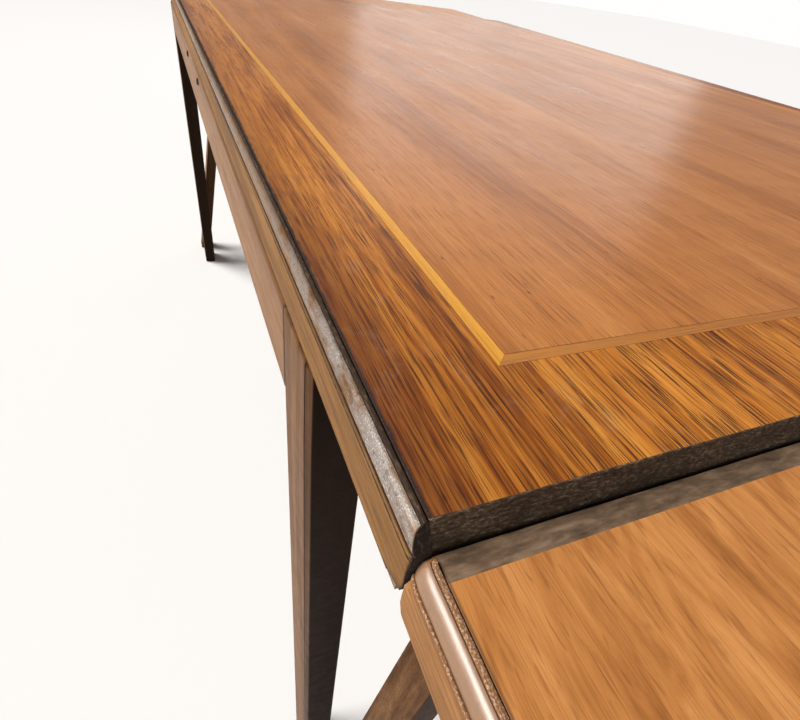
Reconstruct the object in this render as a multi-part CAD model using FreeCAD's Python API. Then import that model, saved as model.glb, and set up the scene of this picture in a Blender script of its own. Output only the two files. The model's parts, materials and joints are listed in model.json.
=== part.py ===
import FreeCAD, Part

import math
import os

from FreeCAD import Vector

os.makedirs("parts", exist_ok=True)

# Drop leaf table. X runs across the table, Y along it, Z up from the floor.
# The origin is on the floor under the middle. Everything is drawn at the far (+Y), right (+X)
# end with the leaves up and the gates closed, and mirrored to the other ends. Millimetres.

# ---- Top ----
table_height = 740.0
top_width = 1018.0
top_length = 1690.0
top_thick = 29.0
end_bevel_run = 5.3
end_bevel_drop = 7.6
under_radius = 5.0

# ---- Moulded lipping on the sides of the top and round the leaves ----
lipping_thick = 6.7
lipping_depth = 32.7
lipping_setback = 5.8
quirk_depth = 1.2
ovolo_depth = 9.0

# ---- Inlaid line ----
inlay_inset = 54.5
inlay_width = 6.3
inlay_depth = 1.0

# ---- Leaves ----
leaf_width = 350.0
leaf_thick = 28.7
leaf_drop = 6.3
leaf_gap = 0.7
leaf_bevel_run = 9.2
leaf_bevel_drop = 1.5
leaf_arris = 1.2

# ---- Leaf hinges ----
hinge_out = 3.0
hinge_down = 32.0
hinge_barrel_radius = 2.8
hinge_pin_radius = 1.4
hinge_plate_thick = 1.8
hinge_plate_reach = 40.0
hinge_width = 75.0
hinge_spacing = 360.0
hinge_gap = 0.3
hinge_pin_clearance = 0.05

# ---- Frame under the top ----
leg_across = 33.0
leg_foot_across = 27.0
leg_along = 59.0
leg_setback = 108.0
leg_corner_across = 2.4
leg_corner_along = 7.0
apron_top_depth = 38.0
apron_height = 59.0
apron_thick = 22.0
apron_round = 3.0
bearer_setback = 1.3
bearer_end_gap = 2.0
bearer_width = 38.0
end_apron_drop = 69.0
cross_rail_offset = 99.0
cross_rail_thick = 22.0
cross_rail_height = 46.0
corner_block_across = 94.0
corner_block_along = 115.0
corner_block_height = 40.0
corner_block_drop = 2.0

# ---- Swing gates ----
gate_thick = 40.0
gate_rail_height = 63.0
gate_reach = 311.5
gate_end_setback = 20.5
gate_back_gap = 40.0
gate_leg_width = 30.0
gate_foot_width = 27.0
gate_leg_top_inset = 103.0
gate_floor_gap = 1.0
gate_open_angle = 85.0
block_length = 70.0
knuckle_count = 5
knuckle_clearance = 0.4
knuckle_gap = 0.3
gate_pin_radius = 4.0
gate_pin_running = 0.06
gate_pin_fixed = 0.02
gate_pin_head_radius = 6.5
gate_pin_head_thick = 2.0
tenon_thick = 14.0
tenon_width = 16.0
tenon_length = 28.0
stop_length = 60.0
stop_width = 22.0
stop_height = 18.0
stop_reach = 236.0
stop_clearance = 0.5
pad_width = 50.0
pad_clearance = 0.3

# ---- Screws and plugs ----
screw_radius = 2.0
screw_head_radius = 4.0
hinge_screw_length = 18.0
bearer_screw_length = 24.0
rail_screw_length = 50.0
rail_screw_depth = 48.0
block_screw_length = 95.0
corner_screw_length = 64.0
plug_radius = 4.5
plug_depth = 5.0
plug_proud = 2.5
plug_rim = 1.6
bearer_screw_pitch = 320.0
bearer_screw_inset = 11.0

# ---- Worked out from the sizes above ----
side = top_width / 2
face = side + lipping_thick
end = top_length / 2
nose = end + end_bevel_run
underside = table_height - top_thick
leaf_top = table_height - leaf_drop
leaf_under = leaf_top - leaf_thick
leaf_inner = nose + leaf_gap
leaf_outer = leaf_inner + leaf_width
hinge_y = end + hinge_out
hinge_z = table_height - hinge_down
leg_front = end - leg_setback
leg_back = leg_front - leg_along
apron_top = table_height - apron_top_depth
apron_bottom = apron_top - apron_height
gate_y = leg_front + gate_back_gap + gate_thick / 2
gate_x = face - gate_end_setback - gate_reach
gate_top = apron_top
gate_bottom = gate_top - gate_rail_height
UP = Vector(0, 0, 1)


# ---- Small drawing helpers ----
def outline_face(steps, place):
    """A closed face. A step is a corner (a, b), or a pair (middle, end) for an arc to that end."""
    here = steps[0]
    edges = []
    for step in steps[1:] + [steps[0]]:
        if isinstance(step[0], tuple):
            middle, target = step
            edges.append(Part.Arc(place(here), place(middle), place(target)).toShape())
        else:
            target = step
            edges.append(Part.LineSegment(place(here), place(target)).toShape())
        here = target
    return Part.Face(Part.Wire(edges))


def along_x(steps, low, high):
    return outline_face(steps, lambda p: Vector(low, p[0], p[1])).extrude(Vector(high - low, 0, 0))


def along_y(steps, low, high):
    return outline_face(steps, lambda p: Vector(p[0], low, p[1])).extrude(Vector(0, high - low, 0))


def along_z(steps, low, high):
    return outline_face(steps, lambda p: Vector(p[0], p[1], low)).extrude(Vector(0, 0, high - low))


def block(low, high):
    return Part.makeBox(high[0] - low[0], high[1] - low[1], high[2] - low[2], Vector(*low))


def arc(centre, radius, start, stop):
    """The middle and the end of an arc, with its angles in degrees."""
    middle = math.radians((start + stop) / 2)
    last = math.radians(stop)
    return (
        (centre[0] + radius * math.cos(middle), centre[1] + radius * math.sin(middle)),
        (centre[0] + radius * math.cos(last), centre[1] + radius * math.sin(last)),
    )


def mirror_x(shape):
    return shape.mirror(Vector(0, 0, 0), Vector(1, 0, 0))


def mirror_y(shape):
    return shape.mirror(Vector(0, 0, 0), Vector(0, 1, 0))


def four_corners(shape):
    """The same piece at each corner, drawn at the far right."""
    return {
        "far_right": shape,
        "far_left": mirror_x(shape),
        "near_right": mirror_y(shape),
        "near_left": mirror_x(mirror_y(shape)),
    }


def both_ends(shape):
    return {"far": shape, "near": mirror_y(shape)}


def both_sides(shape):
    return {"right": shape, "left": mirror_x(shape)}


def screw(at, into, length):
    """A countersunk wood screw with its head flush at a point."""
    head = Part.makeCone(screw_head_radius, screw_radius, screw_head_radius - screw_radius, at, into)
    return Part.makeCylinder(screw_radius, length, at, into).fuse(head)


def cut_for(shape, fittings):
    return shape.cut(Part.Compound(fittings))


# ---- Outlines ----
def top_outline(side_depth, setback):
    """The top seen from the side, with its bevelled ends; between the setbacks it may hang lower."""
    lower = nose - under_radius
    turn = underside + under_radius
    low = table_height - side_depth
    outline = [(-end, table_height), (end, table_height), (nose, table_height - end_bevel_drop), (nose, turn)]
    outline.append(arc((lower, turn), under_radius, 0, -90))
    if low < underside:
        outline += [(end - setback, underside), (end - setback, low)]
        outline += [(setback - end, low), (setback - end, underside)]
    outline.append((-lower, underside))
    outline.append(arc((-lower, turn), under_radius, 270, 180))
    outline.append((-nose, table_height - end_bevel_drop))
    return outline


def leaf_outline(outer):
    """The leaf seen from the side, with its bevelled inner arris and rounded lower corner."""
    turn = leaf_under + under_radius
    return [
        (leaf_inner + leaf_bevel_run, leaf_top),
        (outer, leaf_top),
        (outer, leaf_under),
        (leaf_inner + under_radius, leaf_under),
        arc((leaf_inner + under_radius, turn), under_radius, 270, 180),
        (leaf_inner, leaf_top - leaf_bevel_drop - leaf_arris),
        (leaf_inner + leaf_arris, leaf_top - leaf_bevel_drop),
    ]


def moulding(start, top, depth):
    """The lipping's section: a quirk, a rounded ovolo and a flat face, standing out from start."""
    bulge = (start + 0.70 * lipping_thick, top - quirk_depth - 0.29 * (ovolo_depth - quirk_depth))
    return [
        (start, top - quirk_depth),
        (bulge, (start + lipping_thick, top - ovolo_depth)),
        (start + lipping_thick, top - depth),
        (start, top - depth),
    ]


# ---- Top, its lippings and its inlaid line ----
def inlay_strips():
    """Four mitred strips round the top, named for the side each lies on."""
    outer = (side - inlay_inset, end - inlay_inset)
    inner = (outer[0] - inlay_width, outer[1] - inlay_width)
    low = table_height - inlay_depth
    right = [(outer[0], outer[1]), (inner[0], inner[1]), (inner[0], -inner[1]), (outer[0], -outer[1])]
    far = [(outer[0], outer[1]), (-outer[0], outer[1]), (-inner[0], inner[1]), (inner[0], inner[1])]
    strips = both_sides(along_z(right, low, table_height))
    strips.update(both_ends(along_z(far, low, table_height)))
    return strips


def top_lipping():
    blank = along_y(moulding(side, table_height, lipping_depth), -nose, nose)
    return blank.common(along_x(top_outline(lipping_depth, lipping_setback), side, face))


# ---- Leaf and its lippings, at the far end ----
def leaf_board():
    return along_x(leaf_outline(leaf_outer), -side, side)


def leaf_side_lipping():
    outer = leaf_outer + lipping_thick
    plan = [(side, end), (face, end), (face, outer), (side, leaf_outer)]
    blank = along_y(moulding(side, leaf_top, leaf_thick), end, outer)
    blank = blank.common(along_z(plan, leaf_under, leaf_top))
    return blank.common(along_x(leaf_outline(outer), side, face))


def leaf_end_lipping():
    outer = leaf_outer + lipping_thick
    plan = [(-side, leaf_outer), (side, leaf_outer), (face, outer), (-face, outer)]
    blank = along_x(moulding(leaf_outer, leaf_top, leaf_thick), -face, face)
    return blank.common(along_z(plan, leaf_under, leaf_top))


# ---- Leaf hinges, at the far end ----
hinge_places = [-hinge_spacing, 0.0, hinge_spacing]
screw_row = hinge_width / 2 - 12.5
screw_spots = [(-screw_row, 14.0), (screw_row, 14.0), (0.0, 30.0)]


def hinge_tube(low, high, radius):
    return Part.makeCylinder(radius, high - low, Vector(low, hinge_y, hinge_z), Vector(1, 0, 0))


def top_hinge_plate(x):
    """The plate under the top, with the two outer knuckles."""
    third = hinge_width / 6
    room = hinge_barrel_radius + hinge_gap
    low, high = underside - hinge_plate_thick, underside
    plate = block((x - 3 * third, hinge_y - hinge_plate_reach, low), (x + 3 * third, hinge_y, high))
    for start in (x - 3 * third, x + third):
        plate = plate.fuse(hinge_tube(start, start + 2 * third, hinge_barrel_radius))
    notch = block((x - third, hinge_y - room, low), (x + third, hinge_y + room, high))
    bore = hinge_tube(x - 3 * third, x + 3 * third, hinge_pin_radius + hinge_pin_clearance / 2)
    return plate.cut(notch).cut(bore).removeSplitter()


def leaf_hinge_plate(x):
    """The plate let into the leaf, with the middle knuckle."""
    third = hinge_width / 6
    room = hinge_barrel_radius + hinge_gap
    low, high = leaf_under, leaf_under + hinge_plate_thick
    plate = block((x - 3 * third, hinge_y, low), (x + 3 * third, hinge_y + hinge_plate_reach, high))
    for start in (x - 3 * third, x + third - hinge_gap):
        plate = plate.cut(block((start, hinge_y, low), (start + 2 * third + hinge_gap, hinge_y + room, high)))
    plate = plate.fuse(hinge_tube(x - third + hinge_gap, x + third - hinge_gap, hinge_barrel_radius))
    bore = hinge_tube(x - third, x + third, hinge_pin_radius + hinge_pin_clearance)
    return plate.cut(bore).removeSplitter()


def hinge_pin(x):
    return hinge_tube(x - hinge_width / 2, x + hinge_width / 2, hinge_pin_radius)


def leaf_hinge_recess(x):
    low = (x - hinge_width / 2 - hinge_gap, end, leaf_under - 1)
    high = (x + hinge_width / 2 + hinge_gap, hinge_y + hinge_plate_reach + hinge_gap, leaf_under + hinge_plate_thick)
    return block(low, high)


def top_hinge_screws():
    z = underside - hinge_plate_thick
    return [
        screw(Vector(x + across, hinge_y - back, z), UP, hinge_screw_length)
        for x in hinge_places
        for across, back in screw_spots
    ]


def leaf_hinge_screws():
    return [
        screw(Vector(x + across, hinge_y + out, leaf_under), UP, hinge_screw_length)
        for x in hinge_places
        for across, out in screw_spots
    ]


# ---- Frame ----
def main_leg():
    """Upright on its inner face, tapered on its outer face, with a flat worked on its outer corner."""
    inner = face - leg_across
    taper = [(inner, 0.0), (inner, apron_top), (face, apron_top), (face, apron_bottom), (inner + leg_foot_across, 0.0)]
    leg = along_y(taper, leg_back, leg_front)
    corner = []
    for edge in leg.Edges:
        ends = [vertex.Point for vertex in edge.Vertexes]
        outer_corner = all(abs(end.y - leg_front) < 0.01 and end.x > inner + 1 for end in ends)
        if outer_corner and abs(ends[0].z - ends[1].z) > 1:
            corner.append(edge)
    return leg.makeChamfer(leg_corner_along, leg_corner_across, corner)


def side_apron():
    """Flush with the legs, with its outer upper edge rounded."""
    turn = (face - apron_round, apron_top - apron_round)
    section = [
        (face - apron_thick, apron_bottom),
        (face - apron_thick, apron_top),
        (face - apron_round, apron_top),
        arc(turn, apron_round, 90, 0),
        (face, apron_bottom),
    ]
    return along_y(section, -leg_back, leg_back)


def end_apron():
    reach = face - leg_across
    low = (-reach, leg_front - apron_thick, underside - end_apron_drop)
    return block(low, (reach, leg_front, underside))


def bearer():
    """The strip that carries the top and leaves the shadow line above the apron."""
    outer = side - bearer_setback
    reach = leg_front - apron_thick - bearer_end_gap
    return block((outer - bearer_width, -reach, apron_top), (outer, reach, underside))


def cross_rail():
    reach = face - apron_thick
    low = cross_rail_offset - cross_rail_thick / 2
    return block((-reach, low, apron_top - cross_rail_height), (reach, low + cross_rail_thick, apron_top))


def corner_plan():
    inner_x = face - apron_thick
    inner_y = leg_front - apron_thick
    leg_x = face - leg_across
    return [
        (leg_x, inner_y),
        (inner_x - corner_block_across, inner_y),
        (inner_x, inner_y - corner_block_along),
        (inner_x, leg_back),
        (leg_x, leg_back),
    ]


def corner_block():
    high = apron_top - corner_block_drop
    return along_z(corner_plan(), high - corner_block_height, high)


def corner_screw():
    """One screw square through the long face of the block into the leg."""
    plan = corner_plan()
    first, second = plan[1], plan[2]
    middle_z = apron_top - corner_block_drop - corner_block_height / 2
    at = Vector((first[0] + second[0]) / 2, (first[1] + second[1]) / 2, middle_z)
    into = Vector(first[1] - second[1], second[0] - first[0], 0)
    return screw(at, into, corner_screw_length)


def bearer_screws():
    x = side - bearer_setback - bearer_width + bearer_screw_inset
    places = [-2 * bearer_screw_pitch, -bearer_screw_pitch, 0.0, bearer_screw_pitch, 2 * bearer_screw_pitch]
    return [screw(Vector(x, y, apron_top), UP, bearer_screw_length) for y in places]


def rail_screw():
    at = Vector(face - plug_depth, cross_rail_offset, table_height - rail_screw_depth)
    return screw(at, Vector(-1, 0, 0), rail_screw_length)


def rail_plug():
    at = Vector(face - plug_depth, cross_rail_offset, table_height - rail_screw_depth)
    button = Part.makeCylinder(plug_radius, plug_depth + plug_proud, at, Vector(1, 0, 0))
    rim = [edge for edge in button.Edges if edge.CenterOfMass.x > face + 0.5 * plug_proud]
    return button.makeFillet(plug_rim, rim)


# ---- Swing gate, drawn at the far right and closed against the end apron ----
def knuckle_levels(first):
    """The height spans of every other knuckle, counted down from the top."""
    step = gate_rail_height / knuckle_count
    spans = []
    for number in range(first, knuckle_count, 2):
        spans.append((gate_top - (number + 1) * step, gate_top - number * step))
    return spans


def upright(radius, low, high):
    return Part.makeCylinder(radius, high - low, Vector(gate_x, gate_y, low), UP)


def knuckle_end(rail, own, other, bore_radius):
    """Gives a rail its own round knuckles and hollows it for the other rail's."""
    radius = gate_thick / 2
    for low, high in own:
        rail = rail.fuse(upright(radius, low, high))
    for low, high in other:
        rail = rail.cut(upright(radius + knuckle_clearance, low - knuckle_gap / 2, high + knuckle_gap / 2))
    return rail.cut(upright(bore_radius, gate_bottom, gate_top)).removeSplitter()


def shoulder(direction, length, back):
    """A rail's body, cut at 45 degrees on its opening side so that the gate can swing out."""
    half = gate_thick / 2
    tip = gate_x + direction * knuckle_gap
    plan = [
        (tip, gate_y),
        (gate_x + direction * (half + knuckle_gap), gate_y + half),
        (gate_x + direction * length, gate_y + half),
        (gate_x + direction * length, gate_y - back),
        (gate_x, gate_y - back),
    ]
    return along_z(plan, gate_bottom, gate_top)


def gate_leg_outline():
    top_outer = face - gate_leg_top_inset
    return [
        (top_outer - gate_leg_width, gate_bottom),
        (top_outer, gate_bottom),
        (face, gate_floor_gap),
        (face - gate_foot_width, gate_floor_gap),
    ]


def gate_tenon():
    middle = face - gate_leg_top_inset - gate_leg_width / 2
    low = (middle - tenon_width / 2, gate_y - tenon_thick / 2, gate_bottom)
    high = (middle + tenon_width / 2, gate_y + tenon_thick / 2, gate_bottom + tenon_length)
    return block(low, high)


def gate_rail():
    rail = shoulder(1, gate_reach, gate_thick / 2)
    rail = knuckle_end(rail, knuckle_levels(1), knuckle_levels(0), gate_pin_radius + gate_pin_running)
    return rail.cut(gate_tenon())


def gate_leg():
    leg = along_y(gate_leg_outline(), gate_y - gate_thick / 2, gate_y + gate_thick / 2)
    return leg.fuse(gate_tenon()).removeSplitter()


def gate_block():
    """The half of the knuckle joint that is screwed to the end apron."""
    body = shoulder(-1, block_length, gate_y - leg_front)
    return knuckle_end(body, knuckle_levels(0), knuckle_levels(1), gate_pin_radius + gate_pin_fixed)


def gate_pin():
    head = upright(gate_pin_head_radius, gate_top, gate_top + gate_pin_head_thick)
    return upright(gate_pin_radius, gate_bottom, gate_top).fuse(head)


def block_screws():
    spots = [(0.45, 0.3), (0.8, 0.7)]
    return [
        screw(
            Vector(gate_x - along * block_length, gate_y + gate_thick / 2, gate_top - down * gate_rail_height),
            Vector(0, -1, 0),
            block_screw_length,
        )
        for along, down in spots
    ]


def gate_stop():
    """An L-shaped block under the leaf: a pad that the open gate bears on and a stop that it meets."""
    turn = math.radians(gate_open_angle)
    start = gate_y + stop_reach
    rail_side = gate_x + stop_reach / math.tan(turn) - (gate_thick / 2) / math.sin(turn)
    stop_x = rail_side - stop_clearance
    low = leaf_under - stop_height
    stop = block((stop_x - stop_width, start, low), (stop_x, start + stop_length, leaf_under))
    pad_low = gate_top + pad_clearance
    pad = block((stop_x, start, pad_low), (stop_x + pad_width, start + stop_length, leaf_under))
    return stop.fuse(pad).removeSplitter()


# ---- Assembly ----
def group(shapes):
    return Part.Compound(list(shapes))


def build():
    parts = {}
    inlays = inlay_strips()
    hinge_screws = top_hinge_screws()
    bearer_screw_set = bearer_screws()
    bearer_screw_set += [mirror_x(one) for one in bearer_screw_set]
    far_and_near = hinge_screws + [mirror_y(one) for one in hinge_screws]

    top = along_x(top_outline(top_thick, 0.0), -side, side)
    parts["top_board"] = cut_for(top, list(inlays.values()) + far_and_near + bearer_screw_set)
    for name, strip in inlays.items():
        parts["inlay_line_" + name] = strip
    for name, lipping in both_sides(top_lipping()).items():
        parts["top_lipping_" + name] = lipping

    rail_screws = four_corners(rail_screw())
    rail_plugs = four_corners(rail_plug())
    corner_screws = four_corners(corner_screw())
    gate_screws = four_corners(group(block_screws()))
    fittings = list(rail_screws.values()) + list(rail_plugs.values())

    for name, leg in four_corners(main_leg()).items():
        parts["leg_" + name] = leg.cut(corner_screws[name])
    for name, apron in both_sides(side_apron()).items():
        parts["side_apron_" + name] = cut_for(apron, fittings)
    for name, apron in both_ends(end_apron()).items():
        parts["end_apron_" + name] = cut_for(apron, list(gate_screws.values()))
    for name, strip in both_sides(bearer()).items():
        parts["top_bearer_" + name] = cut_for(strip, bearer_screw_set)
    for name, rail in both_ends(cross_rail()).items():
        parts["cross_rail_" + name] = cut_for(rail, list(rail_screws.values()))
    for name, piece in four_corners(corner_block()).items():
        parts["corner_block_" + name] = piece.cut(corner_screws[name])
    for name, piece in four_corners(gate_block()).items():
        parts["gate_hinge_block_" + name] = piece.cut(gate_screws[name])
    for name, piece in four_corners(gate_rail()).items():
        parts["gate_rail_" + name] = piece
    for name, piece in four_corners(gate_leg()).items():
        parts["gate_leg_" + name] = piece

    recesses = [leaf_hinge_recess(x) for x in hinge_places]
    leaf_screws = leaf_hinge_screws()
    side_lippings = both_sides(leaf_side_lipping())
    leaf_pieces = {
        "board": cut_for(leaf_board(), recesses + leaf_screws),
        "lipping_right": side_lippings["right"],
        "lipping_left": side_lippings["left"],
        "lipping_end": leaf_end_lipping(),
        "hinge_plates": cut_for(group(leaf_hinge_plate(x) for x in hinge_places), leaf_screws),
        "hinge_screws": group(leaf_screws),
        "gate_stops": group(both_sides(gate_stop()).values()),
    }
    for piece, shape in leaf_pieces.items():
        for name, placed in both_ends(shape).items():
            parts["leaf_%s_%s" % (piece, name)] = placed

    top_plates = cut_for(group(top_hinge_plate(x) for x in hinge_places), hinge_screws)
    for name, placed in both_ends(top_plates).items():
        parts["top_hinge_plates_" + name] = placed
    parts["hinge_pins"] = group(both_ends(group(hinge_pin(x) for x in hinge_places)).values())
    parts["hinge_screws_top"] = group(far_and_near)
    parts["gate_pins"] = group(four_corners(gate_pin()).values())
    parts["bearer_screws"] = group(bearer_screw_set)
    parts["rail_screws"] = group(rail_screws.values())
    parts["rail_screw_plugs"] = group(rail_plugs.values())
    parts["corner_block_screws"] = group(corner_screws.values())
    parts["gate_block_screws"] = group(gate_screws.values())
    return parts


for node, shape in build().items():
    shape.exportStep("parts/%s.step" % node)
    print("%-28s %d solid(s) %.0f cm3" % (node, len(shape.Solids), shape.Volume / 1000))
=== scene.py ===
# %% [markdown]
# # A drop leaf table, close up
# The working table is already there: boards, hinges, legs and swing gates, each in its place and
# each riding on the body that moves it. This lesson gives every piece its looks. A board can be a
# cube with a bevel, but a worn table needs more: a worked moulding, an eased arris, a bevel dented
# by years of use. So each visible piece is a surface worked out with numpy, a closed outline
# carried along a path. Lengths are in metres, and MM turns millimetres into metres.

import json
import math

import bmesh
import bpy
import numpy as np
from mathutils import Matrix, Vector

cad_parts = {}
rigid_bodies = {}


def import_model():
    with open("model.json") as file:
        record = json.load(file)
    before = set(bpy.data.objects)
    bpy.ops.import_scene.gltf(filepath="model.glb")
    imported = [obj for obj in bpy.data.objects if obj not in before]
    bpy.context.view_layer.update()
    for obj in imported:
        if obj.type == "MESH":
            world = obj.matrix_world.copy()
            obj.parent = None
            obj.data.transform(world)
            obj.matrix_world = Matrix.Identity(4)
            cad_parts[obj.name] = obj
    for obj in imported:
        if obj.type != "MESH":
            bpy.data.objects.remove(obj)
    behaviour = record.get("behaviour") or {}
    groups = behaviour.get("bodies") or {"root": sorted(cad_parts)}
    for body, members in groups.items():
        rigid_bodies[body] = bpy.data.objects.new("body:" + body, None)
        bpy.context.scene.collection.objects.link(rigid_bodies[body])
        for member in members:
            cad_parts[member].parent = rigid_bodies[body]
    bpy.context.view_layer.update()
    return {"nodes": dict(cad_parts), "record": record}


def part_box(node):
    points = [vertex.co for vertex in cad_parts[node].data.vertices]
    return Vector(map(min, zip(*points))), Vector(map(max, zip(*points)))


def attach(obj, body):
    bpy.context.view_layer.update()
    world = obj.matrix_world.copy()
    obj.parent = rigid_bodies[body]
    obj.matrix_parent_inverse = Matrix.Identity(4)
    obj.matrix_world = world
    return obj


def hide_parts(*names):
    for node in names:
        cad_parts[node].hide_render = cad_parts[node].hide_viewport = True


MM = 0.001
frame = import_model()
record = frame["record"]
home = {node: body for body, nodes in record["behaviour"]["bodies"].items() for node in nodes}

# %% [markdown]
# ## Sizes
# Every place comes from the working table's own nodes, so a changed table moves its looks too.
# Only the finish has sizes of its own, such as how far an arris is worn.

# %% Sizes read from the table
top_low, top_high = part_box("top_board")
TOP = top_high[2]
SIDE = top_high[0]
NOSE = top_high[1]
UNDER = top_low[2]
lip_low, lip_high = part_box("top_lipping_right")
FACE = lip_high[0]
LIP_LOW = lip_low[2]
BEVEL_RUN = 5.3 * MM
BEVEL_DROP = 7.6 * MM
UNDER_RADIUS = 5.0 * MM
LIP_SETBACK = 5.8 * MM
END = NOSE - BEVEL_RUN
line_low, line_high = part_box("inlay_line_right")
far_line_low, far_line_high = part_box("inlay_line_far")
LINE_OUT = np.array([line_high[0], far_line_high[1]])
LINE_IN = np.array([line_low[0], far_line_low[1]])
LINE_DEPTH = line_high[2] - line_low[2]
leaf_low, leaf_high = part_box("leaf_board_far")
LEAF_TOP = leaf_high[2]
LEAF_UNDER = leaf_low[2]
LEAF_IN = leaf_low[1]
LEAF_OUT = leaf_high[1]
SIGN = {"right": 1, "left": -1, "far": 1, "near": -1}
SIDES = ("right", "left")
ENDS = ("far", "near")
CORNERS = {end + "_" + side: (SIGN[side], SIGN[end]) for end in ENDS for side in SIDES}
print("top", round(2 * SIDE, 3), "by", round(2 * END, 3), "at", round(TOP, 3))

# %% [markdown]
# ## Surfaces from outlines
# A length of moulding is one outline repeated along a line. `skin` takes those outlines as one
# array of rings, joins neighbours with quads and closes both ends. It could be done with a curve
# and a bevel object, but rings let the ends be cut to a mitre or to the profile of the board, and
# every point can be nudged by a worn-wood noise before the mesh is made.

# %% Outlines
HOLD_SHARE = 1.25
HOLD_MORE = 0.02 * MM


def arc_between(start, bulge, finish, steps):
    """Quadratic curves from start to finish, each pulled towards its bulge."""
    t = np.linspace(0, 1, steps)[:, None]
    start, bulge, finish = (np.array(p, float)[..., None, :] for p in (start, bulge, finish))
    return (1 - t) ** 2 * start + 2 * t * (1 - t) * bulge + t**2 * finish


def eased(corners, radii, steps=5):
    """Outline with turned corners. Each corner P becomes (1-t)^2 A + 2t(1-t) P + t^2 B, where A
    and B lie on its two edges at that corner's radius from P. One more point beyond A and one
    beyond B hold the shading of the flats, so a corner has steps + 2 points."""
    points = np.array(corners, float)
    before = np.roll(points, 1, axis=0) - points
    after = np.roll(points, -1, axis=0) - points
    before /= np.linalg.norm(before, axis=1, keepdims=True)
    after /= np.linalg.norm(after, axis=1, keepdims=True)
    radius = np.broadcast_to(np.asarray(radii, float), len(points))[:, None]
    curve = arc_between(points + before * radius, points, points + after * radius, steps)
    hold = radius * HOLD_SHARE + HOLD_MORE
    before_curve = (points + before * hold)[:, None]
    after_curve = (points + after * hold)[:, None]
    return np.concatenate([before_curve, curve, after_curve], axis=1).reshape(-1, 2)


def box_of(node):
    """The low and high corners of a node as arrays."""
    return (np.array(corner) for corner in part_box(node))


# %% Wear
def worn(a, b, size, seed, waves=9):
    """Smooth noise of about -1 to 1: twice the mean of sines that run in random directions, with
    random phases and from 0.6 to 2.6 waves to a size."""
    dice = np.random.default_rng(seed)
    angle = dice.uniform(0, 2 * np.pi, waves)
    stretch = dice.uniform(0.6, 2.6, waves) / size
    phase = dice.uniform(0, 2 * np.pi, waves)
    wave = (a[..., None] * np.cos(angle) + b[..., None] * np.sin(angle)) * stretch * 2 * np.pi
    return np.sin(wave + phase).mean(axis=-1) * 2


# %% Skins and pieces
def skin(name, rings, caps="fan", marks=None, angle=40):
    """A closed mesh from rings[i, j]: ring i and point j. Caps are fans, or strips between partners
    j and m-1-j where the end isn't flat. marks are values per point, kept as attributes."""
    count, size = rings.shape[:2]
    grid = np.arange(count * size).reshape(count, size)
    here, there = grid[:-1], grid[1:]
    quads = np.stack([here, np.roll(here, -1, 1), np.roll(there, -1, 1), there], -1).reshape(-1, 4)
    faces = quads.tolist()
    if caps == "fan":
        faces += [grid[0][::-1].tolist(), grid[-1].tolist()]
    else:
        j = np.arange(size // 2 - 1)
        strip = np.stack([j, size - 1 - j, size - 2 - j, j + 1], -1)
        faces += strip.tolist() + (strip[:, ::-1] + (count - 1) * size).tolist()
    mesh = bpy.data.meshes.new(name)
    mesh.from_pydata(rings.reshape(-1, 3).tolist(), [], faces)
    for mark, values in (marks or {}).items():
        values = np.broadcast_to(values, (count, size)).astype(np.float32)
        layer = mesh.attributes.new(mark, "FLOAT", "POINT")
        layer.data.foreach_set("value", values.ravel())
    return finish_mesh(name, mesh, angle)


def placed(name, data):
    """A new object for a mesh, lamp or camera, linked to the scene."""
    thing = bpy.data.objects.new(name, data)
    bpy.context.scene.collection.objects.link(thing)
    return thing


def finish_mesh(name, mesh, angle):
    """Turns the faces outwards, smooths them up to an angle and links the new object."""
    shell = bmesh.new()
    shell.from_mesh(mesh)
    bmesh.ops.recalc_face_normals(shell, faces=shell.faces)
    shell.to_mesh(mesh)
    shell.free()
    mesh.shade_smooth()
    mesh.set_sharp_from_angle(angle=math.radians(angle))
    return placed(name, mesh)


def stations(low, high, step, edge=0.0):
    """Places along a path at about one step apart, with four more close to each end."""
    middle = np.linspace(low + edge, high - edge, max(2, int(round((high - low) / step)) + 1))
    if not edge:
        return middle
    near = low + edge * np.array([0.0, 0.08, 0.3, 0.6])
    return np.concatenate([near, middle, (low + high) - near[::-1]])


def settle(piece, node, finish):
    """Gives a piece its finish, puts it on the body of the node it stands for, and hides that node.
    """
    piece.data.materials.clear()
    piece.data.materials.append(finish)
    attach(piece, home[node])
    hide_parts(node)
    return piece


# %% [markdown]
# ## Shader sums
# A wood finish is mostly arithmetic on a few noises. `Wire` wraps a socket so that such sums read
# as plain Python: `1 - mask` or `grain * 0.4 + pores` each add the Math node they need. `Paint`
# owns one material, and its `node` method makes any other node.

# %% Wire
class Wire:
    """A socket that can be used in sums."""

    def __init__(self, paint, socket):
        self.paint = paint
        self.socket = socket

    def __add__(self, other):
        return self.paint.math("ADD", self, other)

    def __sub__(self, other):
        return self.paint.math("SUBTRACT", self, other)

    def __rsub__(self, other):
        return self.paint.math("SUBTRACT", other, self)

    def __mul__(self, other):
        return self.paint.math("MULTIPLY", self, other)

    __radd__ = __add__
    __rmul__ = __mul__


# %% Paint
def set_stops(ramp, stops):
    """Gives a colour ramp its stops, each a position and a colour."""
    while len(ramp) < len(stops):
        ramp.new(0.5)
    for element, (position, colour) in zip(ramp, stops):
        element.position = position
        element.color = (*colour, 1)


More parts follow.
